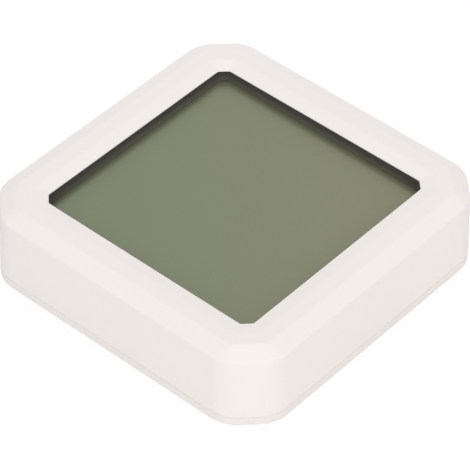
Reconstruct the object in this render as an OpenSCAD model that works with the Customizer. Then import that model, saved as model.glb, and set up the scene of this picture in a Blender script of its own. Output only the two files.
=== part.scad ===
// Square temperature and humidity sensor with a reflective display and a coin cell.
// The back face lies on z = 0, centred on the origin, and the display faces +Z. Sizes are in millimetres.

/* [Housing] */
// Side of the window in the front frame
window_w = 31.3; // [29:0.1:33]
// Width of the front frame, from the window to the side of the body
frame_w = 5.85; // [5.6:0.05:7]
// Thickness of the side wall at its foot
wall = 1.65; // [1.4:0.05:1.9]
// How far the side wall leans in from its foot to its top
wall_lean = 0.26; // [0.05:0.01:0.5]
// Radius of the body's vertical edges
corner_r = 4.3; // [3.6:0.1:5.5]
// How far the flat across each corner is set back
corner_cut = 1.75; // [0.5:0.05:2.5]
// Thickness of the frame's lip at the window
lip_t = 1.11; // [0.9:0.01:1.5]
// Height of the frame's crest over the window's rim
rim_drop = 0.37; // [0.1:0.01:0.6]
// Height of the frame's crest over the outer edge
edge_drop = 0.8; // [0.4:0.05:1.2]
// Distance from the window to the crest
crest_in = 1.75; // [1:0.05:2.4]
// Width of the crest
crest_w = 1.86; // [1:0.02:2.4]
// Radius of the rounded outer edge
edge_r = 0.55; // [0.3:0.05:0.8]
// How far each corner of the window is cut back along its sides
window_cut = 1; // [0.6:0.05:2]

/* [Rear cover] */
// Thickness of the rear cover's plate
cover_t = 1.05; // [0.9:0.05:1.4]
// Radius of the plate's lower edge
cover_edge_r = 0.2; // [0.1:0.05:0.6]
// Height of the shadow gap over the plate
gap_h = 0.12; // [0.08:0.01:0.4]
// Depth of the shadow gap
gap_d = 0.35; // [0.2:0.05:0.9]
// Height of the skirt that stands inside the shell
skirt_h = 1.55; // [1:0.05:1.8]
// Thickness of that skirt
skirt_t = 1; // [0.7:0.05:1.2]
// Clearance between the skirt and the shell
skirt_fit = 0.25; // [0.15:0.05:0.4]
// Clearance between the skirt's grip ribs and the shell
grip_fit = 0.05; // [0.03:0.01:0.1]
// Width of one grip rib
grip_w = 1.2; // [0.8:0.1:2]
// Distance of the grip ribs from the middle of each side
grip_x = 9; // [6:0.5:11]
// Width of the notch for a fingernail
notch_w = 8; // [5:0.5:12]
// Height of that notch
notch_h = 0.55; // [0.3:0.05:0.7]
// Depth of that notch
notch_d = 0.9; // [0.5:0.05:1.2]

/* [Vents] */
// Number of vent slots in the upper side wall
vent_n = 5; // [3:1:7]
// Width of one slot
vent_w = 0.9; // [0.6:0.05:1.2]
// Height of one slot
vent_h = 3; // [2:0.1:3.6]
// Distance from slot to slot
vent_pitch = 2.1; // [1.6:0.05:2.6]
// Height of the slots over the skirt
vent_up = 0.4; // [0.2:0.05:0.8]

/* [Display] */
// Thickness of each glass
glass_t = 0.7; // [0.5:0.05:0.9]
// Thickness of the polariser and of the reflector film
film_t = 0.2; // [0.1:0.05:0.3]
// Width of each contact ledge on the front glass
ledge_w = 2; // [1.8:0.05:2.2]
// How far the front glass reaches past the window, towards each ledge
glass_over = 2.85; // [2.75:0.05:3]
// How far the films stop short of the glass
film_in = 0.2; // [0.1:0.05:0.3]
// Thickness of the gasket under the lip
gasket_t = 0.25; // [0.15:0.05:0.4]
// Thickness of the gasket's liner in the window
liner_t = 0.27; // [0.15:0.01:0.4]
// How far the liner stops under the rim
liner_drop = 0.1; // [0.1:0.05:0.4]
// Clearance of the liner in the window
liner_fit = 0.03; // [0.02:0.01:0.08]
// How far the gasket reaches past the window
gasket_over = 0.9; // [0.6:0.05:0.95]
// Thickness of the display frame's plate
tray_t = 0.95; // [0.8:0.05:1.3]
// Thickness of the display frame's end walls
tray_wall = 0.55; // [0.4:0.05:0.6]
// Length of the display frame's end walls
tray_len = 24; // [16:1:28]
// Clearance round the display and its contacts
display_fit = 0.15; // [0.1:0.01:0.2]
// Width of a contact strip
zebra_w = 1.4; // [1.1:0.05:1.5]
// Length of a contact strip
zebra_len = 28; // [20:0.5:30]

/* [Board] */
// Thickness of the circuit board
board_t = 1; // [0.8:0.1:1.2]
// Clearance between the board and the shell
board_fit = 0.35; // [0.25:0.05:0.4]
// Radius of a screw boss
boss_r = 1.5; // [1.4:0.05:1.55]
// How far a screw boss runs into the side wall
boss_merge = 0.25; // [0.15:0.05:0.4]
// Distance of the bosses from the middle of their side
boss_y = 10; // [8:0.5:11.5]
// Radius of a screw's shank
screw_r = 0.6; // [0.5:0.05:0.7]
// Clearance of a screw in its pilot hole
screw_fit = 0.02; // [0.01:0.01:0.05]
// Length of a screw's shank
screw_len = 3.4; // [2.6:0.1:3.6]
// Radius of a screw's head
head_r = 1.1; // [0.95:0.05:1.15]
// Height of a screw's head
head_h = 0.8; // [0.5:0.05:1]
// Width of the driver slots in a screw's head
driver_w = 0.3; // [0.2:0.05:0.4]
// Length of the driver slots
driver_len = 1.4; // [1.1:0.05:1.6]
// Depth of the driver slots
driver_d = 0.4; // [0.2:0.05:0.45]
// Clearance of a screw in the board's edge
notch_fit = 0.2; // [0.1:0.05:0.3]
// Side of the radio chip
radio_w = 5; // [4:0.5:6]
// Height of the radio chip
radio_h = 0.85; // [0.6:0.05:1]
// Side of the display driver
driver_chip_w = 7; // [5:0.5:7]
// Height of the display driver
driver_chip_h = 1.4; // [1:0.1:1.6]
// Length, width and height of the clock crystal
crystal = [3.2, 2.5, 0.8];
// Length, width and height of the chip antenna
antenna = [3.2, 1.6, 1.1];
// Side of the climate sensor
sensor_w = 2.5; // [2:0.1:3]
// Height of the climate sensor
sensor_h = 0.9; // [0.7:0.05:1.1]
// Radius of the climate sensor's air hole
sensor_hole_r = 0.5; // [0.3:0.05:0.6]
// Width of the slots milled round the climate sensor
moat_w = 0.8; // [0.6:0.05:1]
// Length and width of a small part on the board
chip = [1.6, 0.8];
// Distance from the cell's holder to the middle of the row of chips
row_gap = 6.2; // [5.8:0.1:6.6]
// Distance from the board's upper edge to the middle of the climate sensor
sensor_in = 2.2; // [2:0.1:2.6]
// Distance of the climate sensor and the vents from the middle, to the right
sensor_x = 9; // [8:0.5:9.5]
// Height of a capacitor
capacitor_h = 0.8; // [0.5:0.05:1]
// Height of a resistor
resistor_h = 0.45; // [0.3:0.05:0.6]

/* [Cell] */
// Diameter of the coin cell
cell_d = 20; // [19.5:0.1:20.5]
// Height of the coin cell
cell_h = 3.2; // [3:0.1:3.6]
// Height of the raised cap on the coin cell
cell_cap_h = 0.3; // [0.2:0.05:0.4]
// How far that cap stops short of the cell's side
cell_cap_in = 1.4; // [1.2:0.1:2]
// Radius of the coin cell's lower edge
cell_edge_r = 0.5; // [0.2:0.05:0.6]
// Distance of the coin cell from the middle, downwards
cell_down = 4.5; // [4:0.1:5]
// Clearance between the cell and its holder
cell_fit = 0.1; // [0.05:0.01:0.15]
// Thickness of the holder's wall
holder_wall = 1.2; // [0.9:0.05:1.5]
// Height of the holder's wall
holder_h = 2.35; // [1.6:0.05:2.6]
// Thickness of the holder's floor
holder_floor = 0.25; // [0.2:0.05:0.3]
// Inner radius of the holder's floor, short of the cell's radius
holder_floor_in = 1; // [0.8:0.05:1.1]
// Thickness of the contact springs
clip_t = 0.25; // [0.2:0.05:0.3]
// Width of a positive clip
clip_w = 5; // [3:0.5:6]
// Clearance round a positive clip in the holder
clip_gap = 0.6; // [0.3:0.05:1]
// Clearance between a positive clip and the cell
clip_fit = 0.05; // [0.03:0.01:0.1]
// Length of a positive clip's foot
clip_foot = 2.4; // [1.8:0.1:3]
// Thickness of the negative contact
contact_t = 0.2; // [0.15:0.05:0.3]
// Radius of the negative contact
contact_r = 3.5; // [2:0.1:5]
// Thickness of the foam pad under the cell
pad_t = 0.45; // [0.3:0.05:0.6]
// Radius of the foam pad
pad_r = 4; // [3:0.5:6]
// Clearance between the pad and the cell
pad_fit = 0.05; // [0.02:0.01:0.1]

/* [Button] */
// Radius of the pairing button
button_r = 2.2; // [1.6:0.1:2.6]
// How far the button lies under the back face
button_sink = 0.15; // [0.1:0.05:0.3]
// Clearance between the button and its hole
button_fit = 0.1; // [0.05:0.01:0.15]
// How far the button's flange reaches past its cap
flange_over = 0.8; // [0.5:0.1:1]
// Thickness of the button's flange
flange_t = 0.5; // [0.4:0.05:0.7]
// Clearance between the flange and the plate
flange_fit = 0.05; // [0.03:0.01:0.1]
// Radius of the button's stem
stem_r = 1.2; // [0.8:0.1:1.4]
// Clearance between the stem and the plunger
stem_fit = 0.05; // [0.03:0.01:0.08]
// Side of the switch
switch_w = 4.5; // [3.5:0.1:5]
// Height of the switch's body
switch_h = 2; // [1.6:0.1:2.2]
// Radius of the switch's plunger
plunger_r = 1.2; // [0.8:0.1:1.4]
// Clearance of the plunger in the switch
plunger_fit = 0.05; // [0.03:0.01:0.1]
// How far the plunger stands out of the switch
plunger_out = 0.8; // [0.6:0.05:1]
// How far the plunger runs into the switch
plunger_in = 0.4; // [0.3:0.05:0.6]
// Depth of the plunger's hole in the switch
plunger_hole = 1; // [0.9:0.05:1.3]
// Distance of the button from the middle, to the left
button_left = 11; // [10:0.5:12]

/* [Hidden] */
$fn = 48;
// Overlap that makes joined shapes one solid, and lets a cut run past a face
join = 0.2;
// Steps in an eighth of a turn, and in a rounded edge
arc_steps = 6;

// Plan of the body
window_half = window_w / 2;
body_half = window_half + frame_w;
corner_half = body_half - corner_r;

// Heights of the stack, from the back face to the crest
cell_z = cover_t + pad_t + pad_fit;
contact_z = cell_z + cell_h;
board_z = contact_z + contact_t;
tray_z = board_z + board_t;
reflector_z = tray_z + tray_t;
rear_glass_z = reflector_z + film_t;
front_glass_z = rear_glass_z + glass_t;
polariser_z = front_glass_z + glass_t;
gasket_z = polariser_z + film_t;
lip_z = gasket_z + gasket_t;
rim_z = lip_z + lip_t;
crest_z = rim_z + rim_drop;
edge_z = crest_z - edge_drop;
shell_z = cover_t + gap_h;
skirt_top = cover_t + skirt_h;

// Places on the board, seen from the front
boss_x = body_half - wall - boss_r + boss_merge;
glass_x = boss_x - boss_r - display_fit;
glass_y = window_half + glass_over;
rear_glass_y = glass_y - ledge_w;
zebra_y = glass_y - ledge_w / 2;
cell_r = cell_d / 2;
cell_y = -cell_down;
holder_r = cell_r + cell_fit + holder_wall;
parts_y = cell_y + holder_r + row_gap;
board_half = body_half - wall - board_fit;
sensor_y = board_half - sensor_in;
// Each part's distance from the middle of the row of chips
radio_at = [6.5, -2];
driver_at = [-2, 0];
crystal_at = [11.8, -3.4];
antenna_at = [14.2, 1.6];
capacitors_at = [[3.2, 3.2], [5.4, 3.2], [11.2, -0.4], [13.2, -0.4], [-15, -3.4], [-15, -5.4]];
resistors_at = [[3.2, 4.8], [5.4, 4.8], [-7.2, 3.6], [-7.2, -3.8]];

// Functions for outlines
function turned(p, a) = [p[0] * cos(a) - p[1] * sin(a), p[0] * sin(a) + p[1] * cos(a)];
function on_circle(r, a) = [r * cos(a), r * sin(a)];
function arc(centre, r, from, span) =
    [for (i = [0:arc_steps]) centre + on_circle(r, from + span * i / arc_steps)];

// The body's plan, moved in by a distance: a square with a flat across each corner and rounded edges
function corner_plan(inset) = concat(
    arc([corner_half, corner_half - corner_cut], corner_r - inset, 0, 45),
    arc([corner_half - corner_cut, corner_half], corner_r - inset, 45, 45)
);
function body_plan(inset) = [for (k = [0:3]) for (p = corner_plan(inset)) turned(p, 90 * k)];

// The window's plan, moved out by a distance: a square with a flat across each corner
function window_plan(out) =
    let (half = window_half + out, cut = window_cut + (2 - sqrt(2)) * out)
    [for (k = [0:3]) for (p = [[half, half - cut], [half - cut, half]]) turned(p, 90 * k)];

// A plan at a height
function ring(plan, z) = [for (p = plan) [p[0], p[1], z]];

// The wall's side view as steps of inset and height, from the shadow gap to the crest
edge_slope = atan2(edge_drop, frame_w - crest_in - crest_w - wall_lean);
edge_turn = 90 - edge_slope;
edge_set = edge_r * tan(edge_turn / 2);
edge_centre = [wall_lean + edge_r, edge_z - edge_set];
shell_levels = concat(
    [[gap_d, cover_t], [gap_d, shell_z], [0, shell_z]],
    [for (p = arc([0, 0], edge_r, 180, -edge_turn)) edge_centre + p],
    [[frame_w - crest_in - crest_w, crest_z]]
);
cover_levels = concat(
    [for (p = arc([cover_edge_r, cover_edge_r], cover_edge_r, 270, -90)) p],
    [[0, cover_t]]
);

// A solid that joins a stack of rings with equal numbers of points, from its foot to its top
module stacked(rings) {
    n = len(rings[0]);
    m = len(rings);
    sides = [for (j = [0:m - 2]) for (i = [0:n - 1]) each [
        [j * n + i, (j + 1) * n + i, (j + 1) * n + (i + 1) % n],
        [j * n + i, (j + 1) * n + (i + 1) % n, j * n + (i + 1) % n]
    ]];
    foot = [for (i = [0:n - 1]) i];
    top = [for (i = [n - 1:-1:0]) (m - 1) * n + i];
    polyhedron([for (r = rings) each r], concat(sides, [foot, top]));
}

// A block centred in plan, with its foot at a height
module block(size, z) {
    translate([-size[0] / 2, -size[1] / 2, z]) cube(size);
}

// A block that hangs under the board, at a distance from the middle of the row of chips
module under_board(size, at) {
    translate([at[0], parts_y + at[1], 0]) block(size, board_z - size[2]);
}

// The four screw places
module at_screws() {
    for (x = [-1, 1], y = [-1, 1]) translate([x * boss_x, y * boss_y, 0]) children();
}

// The room over the slope from the window's rim up to the crest
module frame_slope() {
    reach = crest_in * (1 + join / rim_drop);
    stacked([ring(window_plan(0), rim_z), ring(window_plan(reach), crest_z + join)]);
}

module vents() {
    for (i = [0:vent_n - 1]) {
        x = sensor_x + (i - (vent_n - 1) / 2) * vent_pitch;
        translate([x, body_half - wall / 2, 0]) block([vent_w, 2 * wall, vent_h], skirt_top + vent_up);
    }
}

module front_shell() color("#f1eeea") difference() {
    union() {
        difference() {
            stacked([for (l = shell_levels) ring(body_plan(l[0]), l[1])]);
            translate([0, 0, cover_t - join]) linear_extrude(lip_z - cover_t + join) polygon(body_plan(wall));
            translate([0, 0, lip_z - join]) linear_extrude(crest_z) polygon(window_plan(0));
            frame_slope();
        }
        at_screws() translate([0, 0, tray_z]) cylinder(h = lip_z - tray_z + join, r = boss_r);
    }
    at_screws() translate([0, 0, tray_z - join])
        cylinder(h = screw_len - board_t + 2 * join, r = screw_r + screw_fit);
    vents();
}

module display_gasket() color("#26241f") difference() {
    union() {
        block([2 * (window_half + gasket_over), 2 * (window_half + gasket_over), gasket_t], gasket_z);
        translate([0, 0, gasket_z]) linear_extrude(rim_z - liner_drop - gasket_z)
            polygon(window_plan(-liner_fit));
    }
    translate([0, 0, gasket_z - join]) linear_extrude(rim_z) polygon(window_plan(-liner_fit - liner_t));
}

module lcd_polariser() color("#838a70") {
    block([2 * (glass_x - film_in), 2 * (rear_glass_y - film_in), film_t], polariser_z);
}

module lcd_front_glass() color("#c8d2c4", 0.5) {
    block([2 * glass_x, 2 * glass_y, glass_t], front_glass_z);
}

module lcd_rear_glass() color("#c8d2c4", 0.5) {
    block([2 * glass_x, 2 * rear_glass_y, glass_t], rear_glass_z);
}

module lcd_reflector() color("#b9bdb4") {
    block([2 * (glass_x - film_in), 2 * (rear_glass_y - film_in), film_t], reflector_z);
}

module zebra_slots(fit, z, h) {
    for (side = [-1, 1])
        translate([0, side * zebra_y, 0]) block([zebra_len + 2 * fit, zebra_w + 2 * fit, h], z);
}

module lcd_frame() color("#e6e6e2") difference() {
    union() {
        block([2 * glass_x, 2 * (glass_y + display_fit + tray_wall), tray_t], tray_z);
        for (side = [-1, 1])
            translate([0, side * (glass_y + display_fit + tray_wall / 2), 0])
                block([tray_len, tray_wall, polariser_z - tray_z], tray_z);
    }
    zebra_slots(display_fit, tray_z - join, tray_t + 2 * join);
}

module zebra_strips() color("#4a4a4e") {
    zebra_slots(0, tray_z, front_glass_z - tray_z);
}

module sensor_moat() {
    side = sensor_w / 2 + moat_w;
    for (x = [-side, side])
        translate([sensor_x + x, sensor_y, 0])
            block([moat_w, sensor_w + moat_w, board_t + 2 * join], board_z - join);
}

module circuit_board() color("#1f6b3a") difference() {
    translate([0, 0, board_z]) linear_extrude(board_t) polygon(body_plan(wall + board_fit));
    at_screws() translate([0, 0, board_z - join]) cylinder(h = board_t + 2 * join, r = screw_r + notch_fit);
    for (side = [-1, 1], y = [-1, 1])
        translate([side * (boss_x + boss_r), y * boss_y, 0])
            block([2 * boss_r, 2 * (screw_r + notch_fit), board_t + 2 * join], board_z - join);
    sensor_moat();
}

module board_screws() color("#b8b8b4") at_screws() difference() {
    union() {
        translate([0, 0, board_z - head_h]) cylinder(h = head_h, r = head_r);
        translate([0, 0, board_z - join]) cylinder(h = screw_len + join, r = screw_r);
    }
    for (turn = [0, 90])
        rotate(turn) block([driver_len, driver_w, driver_d + join], board_z - head_h - join);
}

module radio_chip() color("#26272a") {
    under_board([radio_w, radio_w, radio_h], radio_at);
}

module display_driver() color("#232427") {
    under_board([driver_chip_w, driver_chip_w, driver_chip_h], driver_at);
}

module clock_crystal() color("#c9c6bd") {
    under_board(crystal, crystal_at);
}

module chip_antenna() color("#e9e4d6") {
    under_board(antenna, antenna_at);
}

module climate_sensor() color("#2b2b2e") difference() {
    under_board([sensor_w, sensor_w, sensor_h], [sensor_x, sensor_y - parts_y]);
    translate([sensor_x, sensor_y, board_z - sensor_h - join])
        cylinder(h = sensor_h / 2 + join, r = sensor_hole_r);
}

module board_capacitors() color("#b79a6b") {
    for (at = capacitors_at) under_board([chip[0], chip[1], capacitor_h], at);
}

module board_resistors() color("#1d1d1f") {
    for (at = resistors_at) under_board([chip[0], chip[1], resistor_h], at);
}

module at_button() {
    translate([-button_left, parts_y, 0]) children();
}

module switch_body() color("#2a2a2c") at_button() difference() {
    block([switch_w, switch_w, switch_h], board_z - switch_h);
    translate([0, 0, board_z - switch_h - join])
        cylinder(h = plunger_hole + join, r = plunger_r + plunger_fit);
}

module switch_plunger() color("#d8d8d4") at_button() {
    translate([0, 0, board_z - switch_h - plunger_out]) cylinder(h = plunger_out + plunger_in, r = plunger_r);
}

module pairing_button() color("#eceae6") at_button() {
    flange_z = cover_t + flange_fit;
    stem_top = board_z - switch_h - plunger_out - stem_fit;
    translate([0, 0, button_sink]) cylinder(h = flange_z + flange_t - button_sink, r = button_r);
    translate([0, 0, flange_z]) cylinder(h = flange_t, r = button_r + flange_over);
    translate([0, 0, flange_z]) cylinder(h = stem_top - flange_z, r = stem_r);
}

module at_cell() {
    translate([0, cell_y, 0]) children();
}

module clip_room() {
    from = cell_r + cell_fit / 2;
    size = [holder_wall + cell_fit, clip_w + 2 * clip_gap, holder_h + 2 * join];
    for (turn = [0, 180])
        rotate(turn) translate([from + size[0] / 2, 0, 0]) block(size, board_z - holder_h - join);
}

module cell_holder() color("#1e1e20") at_cell() difference() {
    translate([0, 0, board_z - holder_h]) cylinder(h = holder_h, r = holder_r);
    translate([0, 0, board_z - holder_h - join])
        cylinder(h = holder_h - holder_floor + join, r = cell_r + cell_fit);
    translate([0, 0, board_z - holder_h]) cylinder(h = holder_h + join, r = cell_r - holder_floor_in);
    clip_room();
}

module cell_positive_clips() color("#cfc9b8") at_cell() for (turn = [0, 180]) rotate(turn) {
    from = cell_r + clip_fit;
    translate([from, -clip_w / 2, board_z - holder_h]) cube([clip_t, clip_w, holder_h]);
    translate([from, -clip_w / 2, board_z - clip_t]) cube([clip_foot, clip_w, clip_t]);
}

module cell_negative_contact() color("#cfc9b8") at_cell() {
    translate([0, 0, contact_z]) cylinder(h = contact_t, r = contact_r);
}

module coin_cell() color("#c4c5c6") at_cell() rotate_extrude() {
    cap_r = cell_r - cell_cap_in;
    shoulder_z = cell_z + cell_h - cell_cap_h;
    polygon(concat(
        [[0, cell_z]],
        arc([cell_r - cell_edge_r, cell_z + cell_edge_r], cell_edge_r, 270, 90),
        [[cell_r, shoulder_z], [cap_r, shoulder_z], [cap_r, cell_z + cell_h], [0, cell_z + cell_h]]
    ));
}

module cell_pad() color("#333333") at_cell() {
    translate([0, 0, cover_t]) cylinder(h = pad_t, r = pad_r);
}

module skirt() {
    translate([0, 0, cover_t - join]) linear_extrude(skirt_h + join) difference() {
        polygon(body_plan(wall + skirt_fit));
        polygon(body_plan(wall + skirt_fit + skirt_t));
    }
}

module grip_ribs() {
    depth = skirt_fit - grip_fit + join;
    for (k = [0:3], side = [-1, 1])
        rotate(90 * k) translate([body_half - wall - grip_fit - depth / 2, side * grip_x, 0])
            block([depth, grip_w, skirt_h], cover_t);
}

module rear_cover() color("#efece8") difference() {
    union() {
        stacked([for (l = cover_levels) ring(body_plan(l[0]), l[1])]);
        skirt();
        grip_ribs();
    }
    at_button() translate([0, 0, -join]) cylinder(h = cover_t + 2 * join, r = button_r + button_fit);
    translate([-body_half, 0, 0]) block([2 * notch_d, notch_w, notch_h + join], cover_t - notch_h);
}

front_shell();
display_gasket();
lcd_polariser();
lcd_front_glass();
lcd_rear_glass();
lcd_reflector();
lcd_frame();
zebra_strips();
circuit_board();
board_screws();
radio_chip();
display_driver();
clock_crystal();
chip_antenna();
climate_sensor();
board_capacitors();
board_resistors();
switch_body();
switch_plunger();
cell_holder();
cell_positive_clips();
cell_negative_contact();
coin_cell();
rear_cover();
cell_pad();
pairing_button();
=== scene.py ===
"""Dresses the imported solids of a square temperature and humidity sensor: smooth mouldings, a reflective
display, a populated board, a coin cell and a small studio. Lengths in the shape functions are in mm."""
import math
from types import SimpleNamespace

import bmesh
import bpy
import numpy as np
from bpy.props import FloatProperty, FloatVectorProperty, PointerProperty
from mathutils import Matrix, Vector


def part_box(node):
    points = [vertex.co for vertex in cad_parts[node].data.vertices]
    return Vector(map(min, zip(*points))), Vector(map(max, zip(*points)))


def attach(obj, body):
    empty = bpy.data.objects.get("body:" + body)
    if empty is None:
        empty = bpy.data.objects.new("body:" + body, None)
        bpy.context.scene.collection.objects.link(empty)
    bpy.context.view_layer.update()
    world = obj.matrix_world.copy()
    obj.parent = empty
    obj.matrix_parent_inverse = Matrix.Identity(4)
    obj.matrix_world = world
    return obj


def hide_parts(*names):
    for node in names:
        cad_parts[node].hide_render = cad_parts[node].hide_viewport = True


bl_info = {
    "name": "Climate sensor dresser",
    "version": (1, 0, 0),
    "blender": (4, 5, 0),
    "location": "3D View > Sidebar > Climate sensor",
    "description": "Builds a climate sensor's mouldings, display, board, cell and studio round its solids",
    "category": "Add Mesh",
}

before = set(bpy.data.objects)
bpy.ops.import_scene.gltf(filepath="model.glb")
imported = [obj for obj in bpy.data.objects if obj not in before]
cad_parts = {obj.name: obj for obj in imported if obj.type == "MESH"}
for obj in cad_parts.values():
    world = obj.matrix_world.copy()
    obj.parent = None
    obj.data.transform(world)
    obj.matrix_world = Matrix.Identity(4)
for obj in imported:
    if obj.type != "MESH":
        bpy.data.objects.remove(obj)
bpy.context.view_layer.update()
MM = 0.001
BOX = {name: np.array([list(corner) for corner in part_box(name)]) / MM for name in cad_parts}

# Places that the solids give, in millimetres
BODY = BOX["front_shell"][1, 0]
CREST = BOX["front_shell"][1, 2]
PLATE_TOP = BOX["front_shell"][0, 2]
SKIRT_TOP = BOX["rear_cover"][1, 2]
BOARD_FACE = BOX["circuit_board"][0, 2]
BOARD_BACK = BOX["circuit_board"][1, 2]
CELL_AT = BOX["coin_cell"][:, :2].mean(0)
BUTTON_AT = BOX["pairing_button"][:, :2].mean(0)

# Radius of a screw's head, and the places of the four screws
HEAD = 1.1
SCREW_X, SCREW_Y = (BOX["board_screws"][:, :2] + [[HEAD], [-HEAD]]).T
SCREWS = [(x, y) for x in SCREW_X for y in SCREW_Y]

# The body that carries the shell, the display and the board
FRONT = "front_unit"
# Vent slots in the wall, and leads along each side of the display driver
VENTS = 5
LEADS = 12

# A plan: half of the straight run along a side, steps in each arc of a corner, and points in a corner
SIDE = 13.9
ARC = 7
CORNER = 2 * (ARC + 1)
# The two arcs of a cut corner take this share of their radius from the cut along each side
CUT_SHARE = 2 - math.sqrt(2)
# Cosine and sine of each quarter turn
QUARTERS = ((1, 0), (0, 1), (-1, 0), (0, -1))
# Faces that meet at a larger angle have a sharp edge between them
SHARP = math.radians(38)
# Points of a mesh that are closer than this, in metres, are one
MERGE = 1e-7
# Blender's wave texture runs through 20 radians in each unit of length, so this over a spacing is its scale
WAVE = math.tau / 20


def linear(code):
    """An sRGB hex colour as linear RGB: c / 12.92 up to 0.04045, else ((c + 0.055) / 1.055) ** 2.4."""
    c = np.array([int(code[i:i + 2], 16) for i in (1, 3, 5)]) / 255
    return tuple(float(v) for v in np.where(c <= 0.04045, c / 12.92, ((c + 0.055) / 1.055) ** 2.4))


def length(name, description, size):
    """A length that a user may change, given in millimetres and kept in metres."""
    return FloatProperty(
        name=name, description=description, default=size * MM, min=0, precision=5, unit="LENGTH")


def colour(name, description, code):
    """A colour that a user may change, given as sRGB hex and kept linear."""
    return FloatVectorProperty(
        name=name, description=description, default=linear(code), min=0, max=1, size=3, subtype="COLOR")


class SensorSizes(bpy.types.PropertyGroup):
    """Sizes of the mouldings and the board's details."""
    window: length("Window", "Side of the window in the front frame", 31.3)
    window_cut: length("Window cut", "How far each corner of the window is cut back", 1.0)
    window_edge: length("Window corner", "Radius at the ends of the cut in the window's corner", 0.4)
    wall: length("Wall", "Thickness of the side wall", 1.65)
    lean: length("Lean", "How far the side wall leans in up to its top", 0.26)
    lip: length("Lip", "Thickness of the frame's lip at the window", 1.11)
    rim_drop: length("Rim drop", "Height of the crest over the window's rim", 0.37)
    rim_run: length("Rim run", "Width of the slope from the window to the crest", 1.75)
    edge_drop: length("Edge drop", "Height of the crest over the outer edge", 0.8)
    edge_run: length("Edge run", "Width of the slope from the crest to the outer edge", 1.98)
    edge_radius: length("Edge radius", "Radius of the rounded outer edge", 0.55)
    crest_outer: length("Outer crest radius", "Radius between the crest and the outer slope", 1.2)
    crest_inner: length("Inner crest radius", "Radius between the crest and the inner slope", 2.5)
    rim_radius: length("Rim radius", "Radius of the window's rim", 0.2)
    corner_radius: length("Corner radius", "Radius of the body's vertical edges", 4.3)
    corner_cut: length("Corner flat", "Run along a side of the flat between the two arcs of a corner", 1.75)
    gap: length("Shadow gap", "Height of the gap between shell and cover, inside its lips", 0.02)
    gap_depth: length("Gap depth", "Depth of that gap", 0.12)
    gap_rise: length("Gap rise", "Height over which the shell's foot leans in to the gap", 0.25)
    gap_radius: length("Gap radius", "Radius where the shell's wall turns in to the gap", 0.5)
    lip_radius: length("Lip radius", "Radius of the cover's upper edge, along the gap", 0.1)
    foot_radius: length("Foot radius", "Radius of the cover's lower edge", 0.2)
    vent_width: length("Vent width", "Width of a vent slot", 0.9)
    vent_height: length("Vent height", "Height of a vent slot", 3.0)
    vent_pitch: length("Vent pitch", "Distance between the middles of two vent slots", 2.1)
    vent_up: length("Vent rise", "Height of the vent slots over the cover's skirt", 0.4)
    notch_width: length("Notch width", "Width of the fingernail notch in the cover", 8.0)
    notch_height: length("Notch height", "Height of that notch", 0.55)
    notch_depth: length("Notch depth", "Depth of that notch", 0.9)
    skirt: length("Skirt", "Thickness of the skirt on the cover", 1.0)
    skirt_fit: length("Skirt fit", "Clearance between that skirt and the shell", 0.25)
    lead_pitch: length("Lead pitch", "Distance between the leads of the display driver", 0.5)
    track: length("Track", "Width of a copper track", 0.24)
    stroke: length("Stroke", "Width of a printed line", 0.15)
    grain: length("Mould grain", "Size of the moulded grain, coarser than the real one so that it shows", 0.3)


class SensorColours(bpy.types.PropertyGroup):
    """Colours of the finishes."""
    shell: colour("Shell", "Warm white of the front shell", "#F4EEEA")
    # Painted shade: the cover's white is a little greyer than the shell's, so that its lip at the body's foot
    # looks shaded as it sits on the floor
    cover: colour("Cover", "White of the rear cover, moulded apart and a little greyer", "#F1EBE7")
    button: colour("Button", "White of the pairing button", "#E9E6E1")
    foam: colour("Foam", "Black of the gasket and the pad", "#47433E")
    display: colour("Display", "Green-grey of the reflective display", "#7E826A")
    glass: colour("Glass", "Tint of the display's glass", "#DDE8DF")
    reflector: colour("Reflector", "Silver of the display's reflector", "#C3C6BE")
    tray: colour("Tray", "White of the display's carrier", "#DEDDD8")
    rubber: colour("Rubber", "Grey of the contact strips", "#55565A")
    mask: colour("Solder mask", "Green of the board", "#15593A")
    copper: colour("Covered copper", "Brighter green of the mask where copper lies under it", "#1E734C")
    laminate: colour("Laminate", "Straw colour of the board's cut edge", "#B9A66B")
    ink: colour("Legend ink", "White of the printed outlines", "#E8E9E4")
    gold: colour("Gold", "Plating of the test pads", "#D9B45F")
    tin: colour("Tin", "Solder and tinned leads", "#C4C5C2")
    steel: colour("Steel", "Stainless can and plated screws", "#C6C6C3")
    nickel: colour("Nickel", "Nickel plating of the contact springs", "#CFC8B6")
    resin: colour("Chip resin", "Black of the chips", "#26272A")
    mark: colour("Pin mark", "Grey of the dots burnt into the chips", "#7C7C79")
    nylon: colour("Nylon", "Black of the cell's holder and the switch", "#232325")
    ceramic: colour("Ceramic", "Cream of the antenna", "#E6DFCE")
    barium: colour("Capacitor", "Tan of the capacitors", "#B08B5A")
    plunger: colour("Plunger", "White of the switch's plunger", "#DAD9D3")
    floor: colour("Floor", "Pale floor", "#DDDDDD")


def in_mm(context):
    """All the sizes as plain numbers of millimetres."""
    sizes = context.scene.sensor_sizes
    return SimpleNamespace(**{name: getattr(sizes, name) / MM for name in SensorSizes.__annotations__})


# Shapes: each gives an array of rows and columns of points


def spaced(count, pitch):
    """Places along a line, a pitch apart, with their middle at zero."""
    return (np.arange(count) - (count - 1) / 2) * pitch


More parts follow.
